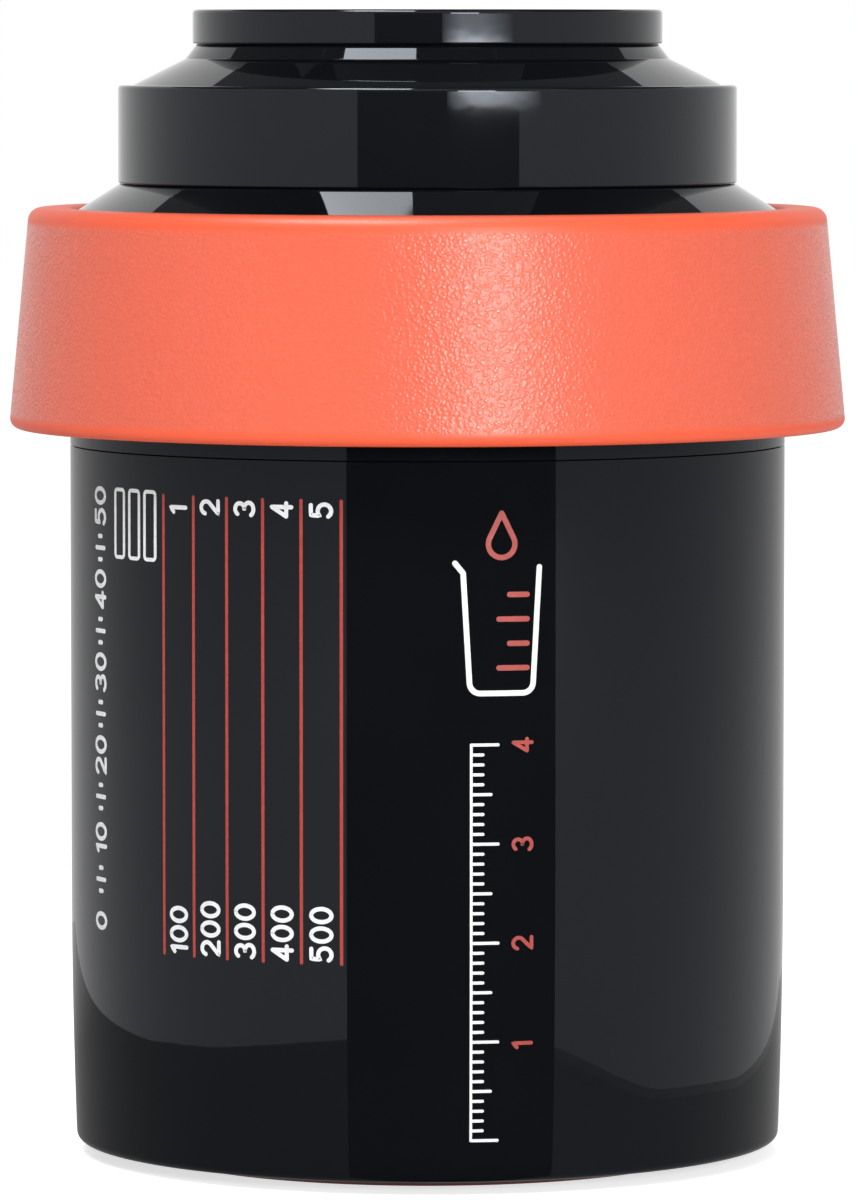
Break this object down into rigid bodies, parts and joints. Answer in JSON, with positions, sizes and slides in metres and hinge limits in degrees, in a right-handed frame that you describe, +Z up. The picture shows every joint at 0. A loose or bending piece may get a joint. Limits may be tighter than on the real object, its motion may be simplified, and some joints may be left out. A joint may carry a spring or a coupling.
{
  "type": "film developing canister",
  "caption": "Round black daylight film developing tank with a soft clamp ring, pour-through funnel lid, pull-off cap, flow core, adjustable spiral reels and a magnetic drive base.",
  "frame": {"origin": "on the floor at the middle of the base disc's underside", "axes": "+Z up along the tank's axis, -Y towards the front that carries the printed table"},
  "size_m": [0.096, 0.096, 0.1312],
  "materials": {
    "black_gloss": "glossy moulded black",
    "black_satin": "satin moulded black",
    "ring_coral": "soft plastic with a fine leather grain",
    "base_red": "satin moulded dark red",
    "tab_red": "glossy moulded red",
    "reel_ivory": "satin moulded ivory, slightly milky",
    "seal_rubber": "black rubber",
    "ferrite": "ground grey ferrite"
  },
  "bodies": {
    "tank": {"tank_body": "black_gloss"},
    "base": {"drive_base": "base_red", "ring_magnet": "ferrite", "magnet_cover": "black_gloss"},
    "core": {"core_tube": "black_satin"},
    "lower_reel": {"lower_reel_base": "reel_ivory"},
    "lower_reel_half": {"lower_reel_top": "reel_ivory"},
    "lower_tab": {"lower_film_tab": "tab_red"},
    "upper_reel": {"upper_reel_base": "reel_ivory"},
    "upper_reel_half": {"upper_reel_top": "reel_ivory"},
    "upper_tab": {"upper_film_tab": "tab_red"},
    "lid": {"lid_shell": "black_gloss", "pour_funnel": "black_satin", "lid_seal": "seal_rubber"},
    "ring": {"clamp_ring": "ring_coral"},
    "cap": {"pour_cap": "black_gloss"}
  },
  "joints": [
    {"name": "base_pull", "type": "slide", "parent": "tank", "child": "base", "axis": [0, 0, -1], "range_m": [0, 0.012]},
    {"name": "core_lift", "type": "slide", "parent": "tank", "child": "core", "axis": [0, 0, 1], "range_m": [0, 0.105]},
    {"name": "lower_reel_lift", "type": "slide", "parent": "core", "child": "lower_reel", "axis": [0, 0, 1], "range_m": [0, 0.09]},
    {"name": "lower_reel_twist", "type": "hinge", "parent": "lower_reel", "child": "lower_reel_half", "pos_m": [0, 0, 0.0124], "axis": [0, 0, 1], "range_deg": [-25, 25]},
    {"name": "lower_tab_raise", "type": "slide", "parent": "lower_reel_half", "child": "lower_tab", "axis": [0, 0, 1], "range_m": [0, 0.0016]},
    {"name": "upper_reel_lift", "type": "slide", "parent": "lower_reel", "child": "upper_reel", "axis": [0, 0, 1], "range_m": [0, 0.05]},
    {"name": "upper_reel_twist", "type": "hinge", "parent": "upper_reel", "child": "upper_reel_half", "pos_m": [0, 0, 0.0526], "axis": [0, 0, 1], "range_deg": [-25, 25]},
    {"name": "upper_tab_raise", "type": "slide", "parent": "upper_reel_half", "child": "upper_tab", "axis": [0, 0, 1], "range_m": [0, 0.0016]},
    {"name": "lid_lift", "type": "slide", "parent": "upper_reel", "child": "lid", "axis": [0, 0, 1], "range_m": [0, 0.04]},
    {"name": "ring_release", "type": "slide", "parent": "lid", "child": "ring", "axis": [0, 0, 1], "range_m": [0, 0.0035]},
    {"name": "cap_pull", "type": "slide", "parent": "lid", "child": "cap", "axis": [0, 0, 1], "range_m": [0, 0.03]}
  ]
}
